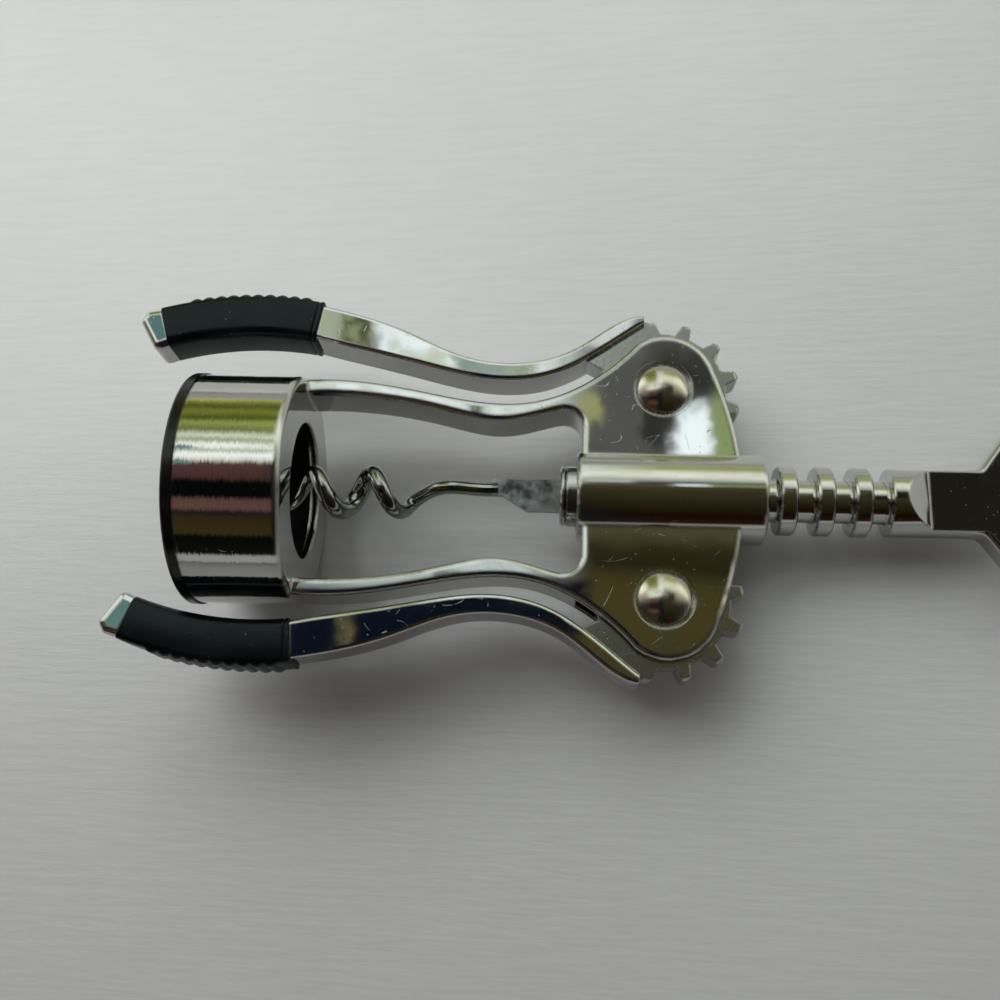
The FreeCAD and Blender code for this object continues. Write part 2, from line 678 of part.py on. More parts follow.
def make_lever(label):
    """Gear sector, arm, tang and square tip in one casting; the pivot is the origin."""
    body = new_body(label)
    disc = new_sketch(body, "disc_profile")
    circle(disc, ("0", "0"), cell("tooth_root_radius"), "disc")
    pad(body, "disc", disc, cell("gear_thickness"))

    first = Placement(Vector(0, 0, 0), Rotation(Vector(0, 0, 1), size("first_tooth_angle")))
    blank = new_sketch(body, "tooth_profile", offset=first)
    root = cell("tooth_root_radius")
    foot = "Sizes.tooth_root_radius - Sizes.tooth_sink"
    root_half = "Sizes.tooth_root_width / 2"
    tip_half = "Sizes.tooth_tip_width / 2"
    shoulder = "Sizes.tooth_tip_radius - Sizes.tooth_bevel"
    outline(blank, (foot, root_half), [
        line_to((root, root_half)),
        line_to((shoulder, tip_half)),
        line_to((cell("tooth_tip_radius"), f"{tip_half} - Sizes.tooth_bevel")),
        line_to((cell("tooth_tip_radius"), f"Sizes.tooth_bevel - {tip_half}")),
        line_to((shoulder, f"-{tip_half}")),
        line_to((root, f"-{root_half}")),
        line_to((foot, f"-{root_half}")),
        line_to((foot, root_half)),
    ])
    tooth = pad(body, "tooth", blank, cell("gear_thickness"))
    sector = body.newObject("PartDesign::PolarPattern", "sector")
    sector.Originals = [tooth]
    sector.Axis = (blank, ["N_Axis"])
    sector.Occurrences = int(size("teeth_made"))
    sector.setExpression("Angle", "360 / Sizes.gear_teeth * (Sizes.teeth_made - 1)")
    body.Tip = sector
    doc.recompute()

    inner = "Sizes.tooth_tip_radius - Sizes.tooth_face_bevel"
    outer = "Sizes.tooth_tip_radius + Sizes.overrun"
    for name, side in (("top_bevel", 1), ("bottom_bevel", -1)):
        ramp = new_sketch(body, f"{name}_profile", "XZ_Plane")
        face = f"{side} * Sizes.gear_thickness / 2"
        low = f"{side} * (Sizes.gear_thickness / 2 - Sizes.tooth_face_bevel - Sizes.overrun)"
        high = f"{side} * (Sizes.gear_thickness / 2 + Sizes.overrun)"
        outline(ramp, (inner, face), [
            line_to((outer, low)),
            line_to((outer, high)),
            line_to((inner, high)),
            line_to((inner, face)),
        ])
        turned(body, "Groove", name, ramp, "V_Axis")

    web = new_sketch(body, "web_profile")
    web_points = control_points("web")
    outline(web, web_points[0], [line_to(point) for point in web_points[1:] + web_points[:1]])
    pad(body, "web", web, cell("gear_thickness"))

    arm = new_sketch(body, "arm_profile")
    outline(arm, corner("arm_inner", "grip"), [
        curve_to(control_points("arm_inner")[1:]),
        line_to(corner("arm_outer", "point")),
        curve_to(control_points("arm_outer")[::-1][1:]),
        line_to(corner("arm_inner", "grip")),
    ])
    pad(body, "arm", arm, cell("arm_thickness"))
    level = size("arm_thickness") / 2
    dress(body, "Fillet", "arm_edges", cell("arm_edge_radius"),
          lambda edge: is_flat_at(edge, level) and edge.Length > LONG_EDGE)

    tang = new_sketch(body, "tang_profile")
    outline(tang, *grip_outline("tang"))
    pad(body, "tang", tang, cell("tang_thickness"))

    tip = new_sketch(body, "tip_profile")
    tip_points = control_points("tip")
    outline(tip, tip_points[0], [line_to(point) for point in tip_points[1:] + tip_points[:1]])
    pad(body, "tip", tip, cell("arm_thickness"))
    free_corners = [Vector(size(f"tip_{name}_along"), size(f"tip_{name}_across"), 0)
                    for name in ("inner_end", "outer_end", "corner")]

    def is_tip_edge(edge):
        """Upright edges of the free end, and the outline of its two faces away from the grip."""
        box = edge.BoundBox
        foot = Vector(box.Center.x, box.Center.y, 0)
        if is_upright(edge):
            return any((foot - point).Length < TOUCHING for point in free_corners)
        on_face = is_flat_at(edge, level) and box.XMax < size("tip_inner_along") + TOUCHING
        return on_face and abs(box.XMin - size("tip_outer_along")) > TOUCHING

    dress(body, "Fillet", "tip_edges", cell("tip_edge_radius"), is_tip_edge)

    hole = new_sketch(body, "pivot_hole_profile")
    circle(hole, ("0", "0"), cell("pivot_hole_radius"), "pivot_hole")
    pocket(body, "pivot_hole", hole)
    return body


def grip_outline(curve):
    """Banana outline of the grip or of the tang inside it."""
    points = control_points(curve)
    return points[0], [
        arc_to(points[1], cell(f"{curve}_inner_radius"), "left"),
        line_to(points[2]),
        arc_to(points[3], cell(f"{curve}_outer_radius"), "right"),
        line_to(points[0]),
    ]


def make_grip(label):
    """Rubber sleeve over the tang, with fine ribs across its outer edge; the pivot is the origin."""
    body = new_body(label)
    sleeve = new_sketch(body, "sleeve_profile")
    outline(sleeve, *grip_outline("grip"))
    pad(body, "sleeve", sleeve, cell("grip_thickness"))
    level = size("grip_thickness") / 2
    ridge = size("grip_front_inner_across")
    dress(body, "Fillet", "inner_edges", cell("grip_edge_radius"),
          lambda edge: is_flat_at(edge, level) and edge.Length > LONG_EDGE and edge.BoundBox.YMin < ridge)
    dress(body, "Fillet", "outer_edges", cell("grip_ridge_radius"),
          lambda edge: is_flat_at(edge, level) and edge.Length > LONG_EDGE and edge.BoundBox.YMin > ridge)
    radius = size("grip_outer_radius")
    centre = arc_centre(vector(sleeve, corner("grip", "back_outer")),
                        vector(sleeve, corner("grip", "front_outer")), radius, "right")
    start = Rotation(Vector(0, 0, 1), 90 + size("first_rib_angle"))
    bead = new_sketch(body, "rib_profile", offset=Placement(centre, start))
    crest = "Sizes.grip_outer_radius + Sizes.rib_height"
    circle(bead, (f"{crest} - Sizes.rib_radius", "0"), cell("rib_radius"), "rib")
    rib = pad(body, "rib", bead, "Sizes.grip_thickness - 2 * Sizes.grip_ridge_radius")
    ribs = body.newObject("PartDesign::PolarPattern", "ribs")
    ribs.Originals = [rib]
    ribs.Axis = (bead, ["N_Axis"])
    ribs.Reversed = True
    ribs.Occurrences = int(size("rib_count"))
    ribs.Angle = math.degrees(size("rib_step") / radius) * (size("rib_count") - 1)
    body.Tip = ribs
    doc.recompute()

    inside = new_sketch(body, "tang_space_profile")
    outline(inside, *grip_outline("tang"))
    pocket(body, "tang_space", inside, cell("tang_thickness"))
    return body


# ---------------------------------------------------------------- rivets

def dome_profile(body, name, side):
    """Half profile of a flat-seated dome, above (side +1) or below (side -1) the cheeks."""
    half = new_sketch(body, name, "XZ_Plane")
    seat = f"{side} * Sizes.dome_seat"
    lip = f"{side} * (Sizes.dome_seat + Sizes.dome_lip)"
    crown = f"{side} * (Sizes.dome_seat + Sizes.dome_height)"
    rise = "(Sizes.dome_height - Sizes.dome_lip)"
    ball = f"(Sizes.dome_radius * Sizes.dome_radius + {rise} * {rise}) / (2 * {rise})"
    outline(half, ("0", seat), [
        line_to((cell("dome_radius"), seat)),
        line_to((cell("dome_radius"), lip)),
        arc_to(("0", crown), ball, "left" if side > 0 else "right"),
        line_to(("0", seat)),
    ])
    return half


def make_rivet(label):
    """Domed head on a post; the pivot is the Z axis."""
    body = new_body(label)
    turned(body, "Revolution", "head", dome_profile(body, "head_profile", 1), "V_Axis")
    shank = new_sketch(body, "post_profile")
    circle(shank, ("0", "0"), cell("post_radius"), "post")
    pad(body, "post", shank, "2 * Sizes.dome_seat")
    return body


def make_rivet_cap(label):
    """Domed cap over the post's far end."""
    body = new_body(label)
    turned(body, "Revolution", "cap", dome_profile(body, "cap_profile", -1), "V_Axis")
    return body


# ---------------------------------------------------------------- assembly

def at_pivot(side, extra_turn=0.0):
    """Placement about the upper or the lower pivot; the lower side is the upper one turned over."""
    if side == "upper":
        return Placement(Vector(size("pivot_along"), size("pivot_across"), 0),
                         Rotation(Vector(0, 0, 1), extra_turn))
    over = Rotation(Vector(1, 0, 0), 180).multiply(Rotation(Vector(0, 0, 1), extra_turn))
    return Placement(Vector(size("pivot_along"), -size("pivot_across"), 0), over)


def lay_down(pieces):
    """Tilt the assembly onto the bell's edge and the head's end, centred over the origin."""
    drop = (size("bell_radius") - size("bell_edge_radius")
            - size("head_thickness") / 2 + size("head_edge_radius"))
    reach = (size("head_centre") + size("head_radius") - size("head_edge_radius")
             - size("bell_end") + size("bell_edge_radius"))
    tilt = Placement(Vector(0, 0, 0), Rotation(Vector(0, 1, 0), math.degrees(math.atan2(drop, reach))))
    for piece in pieces:
        piece.Placement = tilt.multiply(piece.Placement)
    doc.recompute()
    whole = FreeCAD.BoundBox()
    for piece in pieces:
        whole.add(piece.Shape.optimalBoundingBox(False, False))
    move = Vector(-whole.Center.x, -whole.Center.y, -whole.ZMin)
    for piece in pieces:
        piece.Placement = Placement(move, Rotation()).multiply(piece.Placement)
    doc.recompute()
    print(f"tilt {math.degrees(math.atan2(drop, reach)):.4f} degrees, moved by {move}")


def check(pieces):
    """Stop before anything is written if a feature failed or a piece isn't one good solid."""
    for thing in doc.Objects:
        if "Invalid" in thing.State or "Error" in thing.State:
            raise RuntimeError(f"{thing.Name} failed: {thing.State}")
    for piece in pieces:
        if piece.Shape.isNull() or not piece.Shape.isValid() or len(piece.Shape.Solids) != 1:
            raise RuntimeError(f"{piece.Label} isn't one good solid")


def build():
    fill_sheet()
    fixed = [make_frame_casting(), make_bell_liner(), make_spindle(), make_retaining_collar(), make_worm()]
    hinged = []
    for side, play in (("upper", -size("lever_play")), ("lower", size("lever_play"))):
        lever = make_lever(f"{side}_lever")
        grip = make_grip(f"{side}_grip")
        rivet = make_rivet(f"{side}_rivet")
        cap = make_rivet_cap(f"{side}_rivet_cap")
        lever.Placement = at_pivot(side, play)
        grip.Placement = at_pivot(side, play)
        for fastener in (rivet, cap):
            fastener.Placement = Placement(at_pivot(side).Base, Rotation())
        hinged += [lever, grip, rivet, cap]
    pieces = fixed + hinged
    doc.recompute()
    lay_down(pieces)
    check(pieces)
    os.makedirs("parts", exist_ok=True)
    for piece in pieces:
        piece.Shape.exportStep(f"parts/{piece.Label}.step")
        print(f"{piece.Label:18} {piece.Shape.Volume:9.1f} mm3")


build()
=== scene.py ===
import json
import math
import bmesh
import bpy
from mathutils import Matrix, Vector


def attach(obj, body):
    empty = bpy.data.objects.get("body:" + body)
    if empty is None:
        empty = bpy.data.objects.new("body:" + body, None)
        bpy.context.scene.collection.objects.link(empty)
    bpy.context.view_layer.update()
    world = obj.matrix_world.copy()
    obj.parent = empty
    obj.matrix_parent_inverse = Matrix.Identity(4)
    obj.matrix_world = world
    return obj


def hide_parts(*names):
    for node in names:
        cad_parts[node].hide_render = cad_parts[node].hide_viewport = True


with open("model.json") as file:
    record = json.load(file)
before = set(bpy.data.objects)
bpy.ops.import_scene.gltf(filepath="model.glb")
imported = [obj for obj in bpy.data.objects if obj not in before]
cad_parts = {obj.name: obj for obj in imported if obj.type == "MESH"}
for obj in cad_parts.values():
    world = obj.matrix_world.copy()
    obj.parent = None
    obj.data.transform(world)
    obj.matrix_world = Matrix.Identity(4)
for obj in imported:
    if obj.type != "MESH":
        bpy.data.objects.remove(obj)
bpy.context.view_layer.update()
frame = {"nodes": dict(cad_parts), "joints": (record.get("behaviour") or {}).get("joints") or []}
nodes = frame["nodes"]

# The corkscrew lies on a table and is looked at from above its barrel, a little from the lower lever's
# side, so that the bell's mouth turns away on the left and the head runs out of view on the right.
camera_place = (-0.00027, -0.05502, 0.19406)
camera_turns = (16.496, 8.389, 1.983)
bpy.ops.object.camera_add(location=camera_place, rotation=[math.radians(turn) for turn in camera_turns])
camera = bpy.context.object
camera.data.sensor_width = 36.0
camera.data.lens = 40.97
camera.data.clip_start = 0.005
bpy.context.scene.camera = camera
bpy.context.scene.view_settings.view_transform = "Standard"


# Table top: a sheet of pale satin metal that the corkscrew lies on, brushed lengthwise, which leaves a
# faint grain along it and a soft, blurred sheen. It is scenery and no part of the corkscrew.
class Wire:
    """A socket of a node tree: sums of wires are Math nodes, and node() adds any other node."""

    def __init__(self, tree, socket=None):
        self.tree = tree
        self.socket = socket

    def node(self, kind, settings=None, sockets=None, out=0):
        """Add one node: its settings first, then a value or a wire for each named socket."""
        made = self.tree.nodes.new("ShaderNode" + kind)
        for name, value in (settings or {}).items():
            if name == "stops":
                elements = made.color_ramp.elements
                while len(elements) < len(value):
                    elements.new(1.0)
                for element, (spot, shade) in zip(elements, value):
                    element.position = spot
                    element.color = (*shade, 1.0)
            else:
                setattr(made, name, value)
        for name, value in (sockets or {}).items():
            if isinstance(value, Wire):
                self.tree.links.new(value.socket, made.inputs[name])
            else:
                made.inputs[name].default_value = value
        return Wire(self.tree, made.outputs[out] if made.outputs else None)

    def other(self, out):
        """Another output of the node that this wire comes from."""
        return Wire(self.tree, self.socket.node.outputs[out])

    def maths(self, operation, *values):
        return self.node("Math", {"operation": operation}, dict(enumerate(values)))

    def __add__(self, other):
        return self.maths("ADD", self, other)

    def __radd__(self, other):
        return self.maths("ADD", other, self)

    def __sub__(self, other):
        return self.maths("SUBTRACT", self, other)

    def __rsub__(self, other):
        return self.maths("SUBTRACT", other, self)

    def __mul__(self, other):
        return self.maths("MULTIPLY", self, other)

    def __rmul__(self, other):
        return self.maths("MULTIPLY", other, self)

    def between(self, low, high):
        """0 below low, 1 above high, a smooth step between them."""
        return self.node("MapRange", {"interpolation_type": "SMOOTHSTEP"},
                         {"Value": self, "From Min": low, "From Max": high})

    def blend(self, first, second):
        """Colour that runs from the first to the second as this wire goes from 0 to 1."""
        return self.node("Mix", {"data_type": "RGBA"}, {"Factor": self, 6: first, 7: second}, out=2)


def new_material(name):
    """An empty material, a wire to build it from, and the place on the piece."""
    material = bpy.data.materials.new(name)
    material.use_nodes = True
    material.node_tree.nodes.clear()
    start = Wire(material.node_tree)
    return material, start, start.node("TexCoord", out="Object")


def finish_material(material, start, sockets):
    """A Principled surface with these sockets."""
    surface = start.node("BsdfPrincipled", sockets=sockets)
    start.node("OutputMaterial", sockets={"Surface": surface})
    return material


def noise(start, place, scale, detail, roughness=0.5):
    """Smooth noise from 0 to 1, with so many lumps to the metre."""
    return start.node("TexNoise", sockets={"Vector": place, "Scale": scale, "Detail": detail,
                                           "Roughness": roughness}, out="Fac")


def rgb(red, green, blue):
    """Colour as it looks on a screen, 0 to 255, as linear light."""
    shares = [value / 255 for value in (red, green, blue)]
    return tuple(share / 12.92 if share < 0.04045 else ((share + 0.055) / 1.055) ** 2.4
                 for share in shares)


def colour(red, green, blue):
    return (*rgb(red, green, blue), 1.0)


table_radius = 3.0
fibres_each_way = (90.0, 700.0, 90.0)
bpy.ops.mesh.primitive_circle_add(vertices=96, radius=table_radius, fill_type="NGON", location=(0, 0, 0))
table = bpy.context.object
table.name = "table_top"
material, start, place = new_material("pale_table")
along_grain = start.node("Mapping", sockets={"Vector": place, "Scale": fibres_each_way})
fibres = noise(start, along_grain, 1.0, 5.0, 0.6)
clouds = noise(start, place, 9.0, 3.0)
tone = fibres.between(0.25, 0.75) * 0.5 + clouds.between(0.35, 0.65) * 0.5
grain = start.node("Bump", sockets={"Strength": 0.4, "Distance": 0.00012, "Height": fibres})
table.data.materials.append(finish_material(material, start, {
    "Base Color": tone.blend(colour(203, 203, 207), colour(211, 211, 215)),
    "Metallic": 0.5, "Roughness": 0.5, "Normal": grain, "Specular IOR Level": 0.3}))


# Studio: a room that is dark on the near side, with bright panes and greenery high on the far side, and
# a plain pale wall all round at table height. Two soft panels light it, by the panes and on the ceiling.
bell_side = (-0.15, -0.12)
head_side = (0.07, 0.14)
room_ends = (0.46, 0.7)
wall_top = (0.11, 0.16)
pane_edge = 0.006
ramp_span = 200

world = bpy.data.worlds.new("room")
bpy.context.scene.world = world
world.use_nodes = True
world.node_tree.nodes.clear()
start = Wire(world.node_tree)
direction = start.node("TexCoord", out="Generated")
side = start.node("SeparateXYZ", sockets={"Vector": direction}, out="X")
across = side.other("Y")
up = side.other("Z")
from_zenith = start.maths("ARCTAN2", across, up) * (180 / math.pi)
drawn_out = start.node("Mapping", sockets={"Vector": direction, "Scale": (20.0, 60.0, 60.0)})
leaves = noise(start, drawn_out, 1.0, 4.0)
twigs = noise(start, direction, 60.0, 5.0, 0.65)
ragged = from_zenith + (leaves - 0.5) * from_zenith.between(13.0, 40.0) * 9.0
sideways = side + (twigs - 0.5) * 0.03
askew = from_zenith + (twigs - 0.5) * from_zenith.between(12.0, 17.0) * 3.0


def ramp(stops):
    """Colours by angle from straight up, in degrees, the far side positive."""
    on_ramp = [(degrees / ramp_span + 0.5, rgb(*shade)) for degrees, shade in stops]
    return start.node("ValToRGB", {"stops": on_ramp}, {"Fac": ragged * (1 / ramp_span) + 0.5}, out="Color")


def within(value, ends, blur):
    """1 between the two ends, each of them softened by blur."""
    first, last = ends
    return value.between(first - blur, first + blur) * (1 - value.between(last - blur, last + blur))


bell_end = ramp([(-90, (15, 15, 12)), (-62, (6, 6, 4)), (-59, (45, 40, 20)), (-43, (42, 34, 15)),
                 (-38, (20, 20, 26)), (-34, (85, 60, 55)), (-26, (78, 58, 54)), (-23, (5, 6, 7)),
                 (-9, (5, 6, 7)), (-5, (64, 42, 40)), (8, (74, 52, 50)), (12, (196, 200, 190)),
                 (17, (232, 238, 234)), (21, (160, 166, 150)), (26, (236, 242, 234)), (32, (134, 142, 114)),
                 (36, (200, 208, 188)), (42, (92, 100, 52)), (50, (134, 142, 74)), (56, (64, 72, 30)),
                 (64, (104, 112, 44)), (72, (66, 72, 30)), (79, (128, 130, 62)), (84, (196, 192, 130))])
middle = ramp([(-90, (26, 22, 16)), (-50, (16, 18, 22)), (11, (8, 14, 24)), (12, (170, 180, 178)),
               (20, (216, 226, 228)), (40, (222, 232, 236)), (66, (190, 196, 190)),
               (80, (120, 122, 110))])
head_end = ramp([(-90, (40, 22, 14)), (-59, (18, 8, 3)), (-50, (24, 19, 9)), (-30, (34, 28, 14)),
                 (4, (48, 45, 32)), (11.5, (62, 57, 30)), (12.8, (56, 50, 26)), (13.3, (32, 29, 15)),
                 (14.0, (36, 32, 18)), (14.6, (62, 60, 36)), (27, (110, 112, 108)),
                 (42, (218, 219, 212)), (53, (218, 220, 204)), (66, (130, 136, 84)),
                 (84, (142, 142, 120))])
far_ends = ramp([(-90, (24, 22, 18)), (-12, (38, 34, 26)), (6, (96, 94, 76)), (34, (170, 172, 158)),
                 (44, (236, 236, 226)), (66, (232, 232, 220)), (76, (110, 112, 84))])
room = side.between(*bell_side).blend(bell_end, middle)
room = side.between(*head_side).blend(room, head_end)
room = start.maths("ABSOLUTE", side).between(*room_ends).blend(room, far_ends)

# Before the panes stand a dark frame and its posts, gaps of sky, leaves, and a teal curtain at the end.
for sides, angles, blur, shade in (((0.13, 0.60), (16.5, 27.0), 1.0, (76, 77, 75)),
                                   ((0.175, 0.60), (19.3, 24.0), 0.8, (42, 42, 39)),
                                   ((0.125, 0.165), (24.2, 28.0), 0.4, (190, 196, 193)),
                                   ((0.36, 0.60), (2.0, 20.0), 1.0, (28, 25, 21)),
                                   ((0.205, 0.238), (17.0, 21.5), 0.5, (226, 236, 240)),
                                   ((0.236, 0.30), (17.5, 22.5), 0.5, (122, 138, 92)),
                                   ((0.12, 0.142), (20.2, 21.8), 0.3, (140, 144, 96)),
                                   ((-0.29, -0.21), (21.5, 25.5), 0.5, (78, 108, 106)),
                                   ((-0.29, -0.21), (7.0, 11.8), 0.5, (84, 114, 110)),
                                   ((0.03, 0.105), (14.6, 19.5), 0.4, (20, 26, 30)),
                                   ((0.0, 0.135), (9.6, 12.4), 0.3, (8, 13, 21)),
                                   ((-0.13, -0.08), (22.6, 28.0), 0.5, (146, 156, 138)),
                                   ((-0.090, -0.060), (22.6, 28.0), 0.5, (62, 68, 46)),
                                   ((0.01, 0.08), (22.0, 28.0), 0.5, (126, 140, 136)),
                                   ((0.02, 0.04), (19.5, 21.6), 0.5, (84, 90, 84)),
                                   ((-0.077, -0.067), (7.0, 11.0), 0.5, (82, 78, 54))):
    pane = within(sideways, sides, pane_edge) * within(askew, angles, blur)
    room = pane.blend(room, colour(*shade))
foliage = from_zenith.between(17.0, 23.0) * (1 - from_zenith.between(60.0, 76.0)) \
    * side.between(-0.20, -0.14)
foliage = foliage * (1 - side.between(0.10, 0.14) * (1 - from_zenith.between(28.0, 32.0)))
room = (twigs.between(0.46, 0.57) * foliage * 0.6).blend(room, colour(150, 158, 122))
room = up.between(*wall_top).blend(colour(128, 128, 126), room)
room_light = start.node("Background", sockets={"Color": room, "Strength": 1.8})
start.node("OutputWorld", sockets={"Surface": room_light})

bpy.ops.object.light_add(type="AREA", location=(-0.30, 0.44, 0.46))
window = bpy.context.object
window.name = "window_panel"
window.data.shape = "RECTANGLE"
window.data.size = 0.7
window.data.size_y = 0.5
window.data.energy = 5.2
window.data.color = (0.98, 0.99, 1.0)
window.visible_glossy = False
window.rotation_euler = (Vector((0, 0, 0)) - window.location).to_track_quat("-Z", "Y").to_euler()

bpy.ops.object.light_add(type="AREA", location=(0.1, -0.1, 1.1))
ceiling = bpy.context.object
ceiling.name = "ceiling_panel"
ceiling.data.size = 1.2
ceiling.data.energy = 1.2
ceiling.visible_glossy = False


# Frame casting: bell, legs, cheeks and barrel in one zinc die casting. It is polished by hand on wheels,
# which leaves fine lines round the bell, and then chrome plated.
joints = {joint["name"]: joint for joint in frame["joints"]}
lengthwise = -Vector(joints["rack_slide"]["axis"])
tilt = math.atan2(-lengthwise.z, lengthwise.x)
bell_back = (-0.0600, -0.0590)
lines_each_way = (5200.0, 520.0, 520.0)
rocking = Vector((0.02, 0.06, 0.06))


def hairlines(start, place, size, width):
    """Mask of long thin scratches that come and go along the level lines of a smooth noise."""
    field = start.node("TexNoise", sockets={"Vector": place, "Scale": size, "Detail": 0.0,
                                            "Distortion": 0.5}, out="Fac")
    shown = noise(start, place, size * 2.2, 2.0)
    return (1 - start.maths("ABSOLUTE", field - 0.5).between(0.0, width)) * shown.between(0.57, 0.66)


def chrome(name, tint, gloss=0.03, wave=0.35, rounding=0.0004, turned=None, satin=None):
    """Bright plate: rounded edges worn by rubbing, hairline scratches, specks, smudges and slow waves.

    turned() may rock the surface as a wheel's lines do, and satin() is a mask of what stays dull. On the
    satin the worn edges are painted brighter than the plate: partly wear, partly a painted highlight.
    """
    material, start, place = new_material(name)
    rounded = start.node("Bevel", {"samples": 4}, {"Radius": rounding}, out="Normal")
    face = start.node("NewGeometry", out="Normal")
    turn = start.node("VectorMath", {"operation": "DOT_PRODUCT"}, {0: rounded, 1: face}, out="Value")
    nicks = noise(start, place, 1300.0, 3.0)
    # Edges worn by rubbing roughen the plate. On the satin they also carry a painted highlight.
    rubbed_edge_and_glint = (1 - turn.between(0.90, 0.998)) * nicks.between(0.50, 0.60)
    lines = start.maths("MAXIMUM", hairlines(start, place, 110.0, 0.003),
                        hairlines(start, place, 230.0, 0.005))
    worn = start.maths("MAXIMUM", lines * 0.5, rubbed_edge_and_glint)
    specks = start.node("TexVoronoi", sockets={"Vector": place, "Scale": 760.0}, out="Distance")
    marks = start.maths("MAXIMUM", worn, 1 - specks.between(0.04, 0.08))
    smudge = noise(start, place, 75.0, 5.0, 0.6)
    waves = noise(start, place, 130.0, 1.5)
    slow = start.node("Bump", sockets={"Strength": 1.0, "Distance": 0.00004 * wave, "Height": waves,
                                       "Normal": rounded})
    if turned:
        slow = turned(start, place, slow)
    fine = start.node("Bump", sockets={"Strength": 0.6, "Distance": 0.000010, "Height": marks,
                                       "Normal": slow})
    darker = [value * 0.9 for value in tint[:3]] + [1.0]
    base = smudge.between(0.35, 0.75).blend(tint, darker)
    roughness = gloss + smudge.between(0.45, 0.8) * 0.04 + marks * 0.16
    if satin:
        dull = satin(start, place)
        roughness = roughness + dull * 0.17
        base = (dull * 0.6).blend(base, colour(168, 171, 168))
        # The satin's worn edges are painted near white, brighter than the plate itself: partly wear, partly
        # a painted highlight.
        base = (dull * rubbed_edge_and_glint * 0.8).blend(base, colour(236, 238, 236))
        fine = start.node("Bump", sockets={"Strength": dull, "Distance": 0.000012, "Height": nicks,
                                           "Normal": fine})
    return finish_material(material, start, {
        "Base Color": base, "Metallic": 1.0, "Roughness": roughness, "Normal": fine})


def wheel_lines(start, place, normal):
    """Short fine lines round the bell, which rock the plate a little up and down round it."""
    levelled = start.node("Mapping", sockets={"Vector": place, "Rotation": (0.0, -tilt, 0.0)})
    close_set = start.node("Mapping", sockets={"Vector": levelled, "Scale": lines_each_way})
    rock = start.node("TexNoise", sockets={"Vector": close_set, "Scale": 1.0, "Detail": 2.0}, out="Color")
    centred = start.node("VectorMath", {"operation": "MULTIPLY_ADD"},
                         {0: rock, 1: rocking, 2: -rocking / 2})
    along = start.node("SeparateXYZ", sockets={"Vector": place}, out="X")
    on_bell = 1 - along.between(*bell_back)
    weighed = start.node("VectorMath", {"operation": "SCALE"}, {0: centred, "Scale": on_bell})
    moved = start.node("VectorMath", {"operation": "ADD"}, {0: normal, 1: weighed})
    return start.node("VectorMath", {"operation": "NORMALIZE"}, {0: moved})


casting_chrome = chrome("casting_chrome", colour(206, 206, 203), rounding=0.0008, turned=wheel_lines)
nodes["frame_casting"].material_slots[0].material = casting_chrome


# Bell liner: the cup that centres the bottle's neck in the bell. It is moulded in glossy black plastic
# and pressed in from the mouth, where its rim shows.
material, start, place = new_material("liner_plastic")
haze = noise(start, place, 220.0, 3.0)
skin = start.node("Bump", sockets={"Strength": 0.3, "Distance": 0.00001, "Height": haze})
liner_plastic = finish_material(material, start, {
    "Base Color": haze.blend(colour(6, 7, 8), colour(13, 14, 15)),
    "Roughness": haze.between(0.3, 0.8) * 0.12 + 0.18, "Normal": skin, "Specular IOR Level": 0.35})
nodes["bell_liner"].material_slots[0].material = liner_plastic


# Spindle: ring rack, neck and the flat head that lifts crown caps, in one zinc casting. The rack's
# grooves are turned before the whole is chrome plated, and the plate is wavier than the frame's.
spindle_chrome = chrome("spindle_chrome", colour(200, 200, 198), wave=1.3, rounding=0.0005)
nodes["spindle"].material_slots[0].material = spindle_chrome


# Retaining collar: a turned steel ring that sits loosely on the spindle's journal, at the barrel's lower
# end. It is thinly plated and duller than the castings.
ring_steel = chrome("ring_steel", colour(186, 187, 184), gloss=0.12)
nodes["retaining_collar"].material_slots[0].material = ring_steel


# Worm: drawn steel wire, bent hot, flattened at its end and left bare, so it is darker and less even
# than the plate. The flat end is cast into the spindle.
material, start, place = new_material("worm_steel")
mottle = noise(start, place, 420.0, 4.0)
dents = noise(start, place, 900.0, 2.0)
rough_skin = start.node("Bump", sockets={"Strength": 0.5, "Distance": 0.00003, "Height": dents})
worm_steel = finish_material(material, start, {
    "Base Color": mottle.blend(colour(120, 122, 122), colour(182, 184, 182)), "Metallic": 1.0,
    "Roughness": mottle.between(0.3, 0.7) * 0.10 + 0.07, "Normal": rough_skin})
nodes["worm"].material_slots[0].material = worm_steel


# Levers: gear sector, arm, tang and tip in one zinc casting each. The wheels reach the arms but not the
# teeth, so under the plate the teeth keep the satin skin of the mould.
upward = -Vector(joints["upper_lever_pivot"]["axis"])
pivots = [Vector(joints[f"{lever}_lever_pivot"]["pos_m"]) for lever in ("upper", "lower")]
half_sector = (0.00268, 0.00280)
teeth_reach = (0.0138, 0.0146)


def gear_sectors(start, place):
    """Mask of what lies within the teeth's reach of a pivot, and between the gear sector's two faces."""
    level = start.node("VectorMath", {"operation": "DOT_PRODUCT"}, {0: place, 1: upward}, out="Value")
    reaches = [start.node("VectorMath", {"operation": "DISTANCE"}, {0: place, 1: pivot}, out="Value")
               for pivot in pivots]
    between_faces = 1 - start.maths("ABSOLUTE", level - upward.dot(pivots[0])).between(*half_sector)
    return between_faces * (1 - start.maths("MINIMUM", *reaches).between(*teeth_reach))


lever_chrome = chrome("lever_chrome", colour(208, 208, 206), wave=0.25, rounding=0.0004,
                      satin=gear_sectors)
for node in ("upper_lever", "lower_lever"):
    nodes[node].material_slots[0].material = lever_chrome


# Rivets and their caps: turned steel pins with domed heads, put through cheek and lever, with a domed cap
# pressed on behind. They are thinly plated and dulled by handling.
rivet_steel = chrome("rivet_steel", colour(206, 202, 190), gloss=0.19, wave=2.5)
for node in ("upper_rivet", "lower_rivet", "upper_rivet_cap", "lower_rivet_cap"):
    nodes[node].material_slots[0].material = rivet_steel


